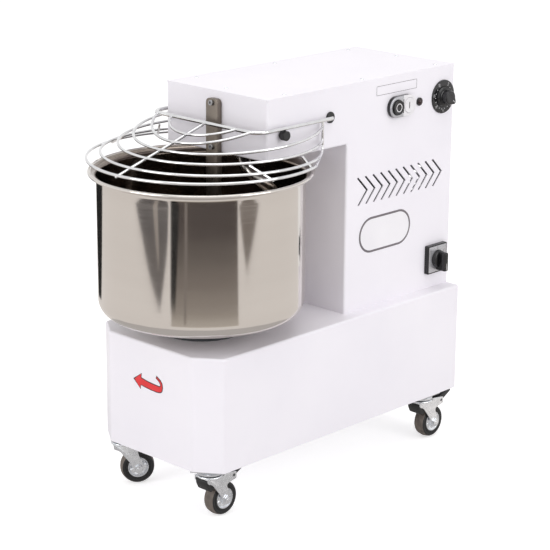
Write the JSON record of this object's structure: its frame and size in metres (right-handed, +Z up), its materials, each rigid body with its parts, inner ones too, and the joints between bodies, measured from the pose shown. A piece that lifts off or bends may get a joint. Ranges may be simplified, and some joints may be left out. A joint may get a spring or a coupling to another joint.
{
  "type": "spiral dough mixer",
  "caption": "Bowl mixer for dough: white steel body on casters, a turning steel bowl, a spiral hook, a breaker bar and a hinged wire guard.",
  "frame": {"origin": "on the floor under the middle of the machine's length and width", "axes": "+Z up, -Y towards the bowl and the operator, +X towards the side with the controls"},
  "size_m": [0.4092, 0.7447, 0.7171],
  "materials": {
    "white_paint": "satin powder coat",
    "bowl_steel": "polished stainless",
    "chrome": "polished",
    "zinc": "zinc plated",
    "shaft_steel": "turned",
    "cast_iron": "machined casting",
    "cast_aluminium": "cast",
    "belt_rubber": "matt",
    "copper": "varnished winding",
    "black_plastic": "fine grain",
    "gloss_black": "gloss",
    "white_plastic": "gloss",
    "grey_plastic": "fine grain",
    "lamp_lens": "clear dark lens",
    "tyre_rubber": "matt"
  },
  "bodies": {
    "frame": {"base_shell": "white_paint", "base_bottom_plate": "white_paint", "column_shell": "white_paint", "head_shell": "white_paint", "top_cover": "white_paint", "rear_panel": "white_paint", "panel_screws": "zinc", "caster_plates": "zinc", "bowl_bearing_housing": "cast_iron", "ball_bearings": "shaft_steel", "bowl_belt": "belt_rubber", "gearbox_housing": "cast_aluminium", "gearbox_cover": "cast_aluminium", "motor_housing": "cast_aluminium", "motor_stator": "copper", "motor_end_bells": "cast_aluminium", "motor_fan_cowl": "black_plastic", "head_plate": "shaft_steel", "spiral_bearing_housing": "cast_iron", "spiral_belt": "belt_rubber", "breaker_bar": "bowl_steel", "breaker_bar_screws": "shaft_steel", "guard_bushes": "black_plastic", "guard_bumpers": "black_plastic", "button_housing": "grey_plastic", "indicator_lamp": "lamp_lens", "timer_dial": "gloss_black", "speed_switch_plate": "grey_plastic", "switch_bodies": "black_plastic", "contactors": "grey_plastic", "cable_gland": "black_plastic"},
    "bowl_body": {"bowl": "bowl_steel", "bowl_spindle": "shaft_steel", "bowl_pulley": "cast_iron"},
    "drive_shaft_body": {"drive_shaft": "shaft_steel", "lower_drive_pulley": "cast_iron", "upper_drive_pulley": "cast_iron", "output_gear": "shaft_steel"},
    "intermediate_body": {"intermediate_shaft": "shaft_steel", "intermediate_gear": "shaft_steel"},
    "rotor_body": {"motor_rotor": "shaft_steel", "motor_fan": "black_plastic"},
    "spiral_body": {"spiral_hook": "bowl_steel", "spiral_pulley": "cast_iron"},
    "guard_body": {"guard_frame": "chrome", "guard_rings": "chrome"},
    "stop_body": {"stop_button": "gloss_black"},
    "start_body": {"start_button": "white_plastic"},
    "timer_body": {"timer_knob": "gloss_black"},
    "speed_body": {"speed_knob": "gloss_black"},
    "fork_fr": {"caster_fork_fr": "zinc"},
    "wheel_fr": {"caster_wheel_fr": "tyre_rubber"},
    "fork_fl": {"caster_fork_fl": "zinc"},
    "wheel_fl": {"caster_wheel_fl": "tyre_rubber"},
    "fork_rr": {"caster_fork_rr": "zinc"},
    "wheel_rr": {"caster_wheel_rr": "tyre_rubber"},
    "fork_rl": {"caster_fork_rl": "zinc"},
    "wheel_rl": {"caster_wheel_rl": "tyre_rubber"},
    "pedal_fr": {"brake_pedal_fr": "black_plastic"},
    "pedal_rr": {"brake_pedal_rr": "black_plastic"}
  },
  "joints": [
    {"name": "bowl_spin", "type": "hinge", "parent": "frame", "child": "bowl_body", "pos_m": [0, -0.17575, 0.297], "axis": [0, 0, 1], "continuous": true},
    {"name": "drive_shaft_spin", "type": "hinge", "parent": "frame", "child": "drive_shaft_body", "pos_m": [0, 0.14625, 0.297], "axis": [0, 0, 1], "continuous": true},
    {"name": "intermediate_spin", "type": "hinge", "parent": "frame", "child": "intermediate_body", "pos_m": [0, 0.225, 0.297], "axis": [0, 0, 1], "continuous": true},
    {"name": "rotor_spin", "type": "hinge", "parent": "frame", "child": "rotor_body", "pos_m": [0, 0.28125, 0.397], "axis": [0, 0, 1], "continuous": true},
    {"name": "spiral_spin", "type": "hinge", "parent": "frame", "child": "spiral_body", "pos_m": [0, -0.06985, 0.6085], "axis": [0, 0, 1], "continuous": true},
    {"name": "guard_hinge", "type": "hinge", "parent": "frame", "child": "guard_body", "pos_m": [0, 0.01425, 0.664], "axis": [-1, 0, 0], "range_deg": [0, 75]},
    {"name": "stop_press", "type": "slide", "parent": "frame", "child": "stop_body", "axis": [-1, 0, 0], "range_m": [0, 0.004], "stiffness_N_per_m": 600, "springref_m": -0.001},
    {"name": "start_press", "type": "slide", "parent": "frame", "child": "start_body", "axis": [-1, 0, 0], "range_m": [0, 0.004], "stiffness_N_per_m": 600, "springref_m": -0.001},
    {"name": "timer_turn", "type": "hinge", "parent": "frame", "child": "timer_body", "pos_m": [0.1225, 0.32025, 0.658], "axis": [-1, 0, 0], "range_deg": [0, 300]},
    {"name": "speed_turn", "type": "hinge", "parent": "frame", "child": "speed_body", "pos_m": [0.1225, 0.31025, 0.353], "axis": [-1, 0, 0], "range_deg": [-60, 60]},
    {"name": "swivel_fr", "type": "hinge", "parent": "frame", "child": "fork_fr", "pos_m": [0.111, -0.26475, 0.0802], "axis": [0, 0, 1], "continuous": true},
    {"name": "roll_fr", "type": "hinge", "parent": "fork_fr", "child": "wheel_fr", "pos_m": [0.111, -0.23975, 0.031], "axis": [1, 0, 0], "continuous": true},
    {"name": "brake_fr", "type": "hinge", "parent": "fork_fr", "child": "pedal_fr", "pos_m": [0.111, -0.22275, 0.0712], "axis": [-1, 0, 0], "range_deg": [0, 12]},
    {"name": "swivel_fl", "type": "hinge", "parent": "frame", "child": "fork_fl", "pos_m": [-0.111, -0.26475, 0.0802], "axis": [0, 0, 1], "continuous": true},
    {"name": "roll_fl", "type": "hinge", "parent": "fork_fl", "child": "wheel_fl", "pos_m": [-0.09775, -0.24355, 0.031], "axis": [0.848, -0.5299, 0], "continuous": true},
    {"name": "swivel_rr", "type": "hinge", "parent": "frame", "child": "fork_rr", "pos_m": [0.125, 0.28025, 0.0802], "axis": [0, 0, 1], "continuous": true},
    {"name": "roll_rr", "type": "hinge", "parent": "fork_rr", "child": "wheel_rr", "pos_m": [0.125, 0.30525, 0.031], "axis": [1, 0, 0], "continuous": true},
    {"name": "brake_rr", "type": "hinge", "parent": "fork_rr", "child": "pedal_rr", "pos_m": [0.125, 0.32225, 0.0712], "axis": [-1, 0, 0], "range_deg": [0, 12]},
    {"name": "swivel_rl", "type": "hinge", "parent": "frame", "child": "fork_rl", "pos_m": [-0.125, 0.28025, 0.0802], "axis": [0, 0, 1], "continuous": true},
    {"name": "roll_rl", "type": "hinge", "parent": "fork_rl", "child": "wheel_rl", "pos_m": [-0.13355, 0.30374, 0.031], "axis": [0.9397, 0.342, 0], "continuous": true}
  ],
  "couplings": [
    {"joint": "drive_shaft_spin", "follows": "bowl_spin", "ratio": 6},
    {"joint": "spiral_spin", "follows": "bowl_spin", "ratio": 7.2},
    {"joint": "intermediate_spin", "follows": "bowl_spin", "ratio": -24},
    {"joint": "rotor_spin", "follows": "bowl_spin", "ratio": 96}
  ]
}
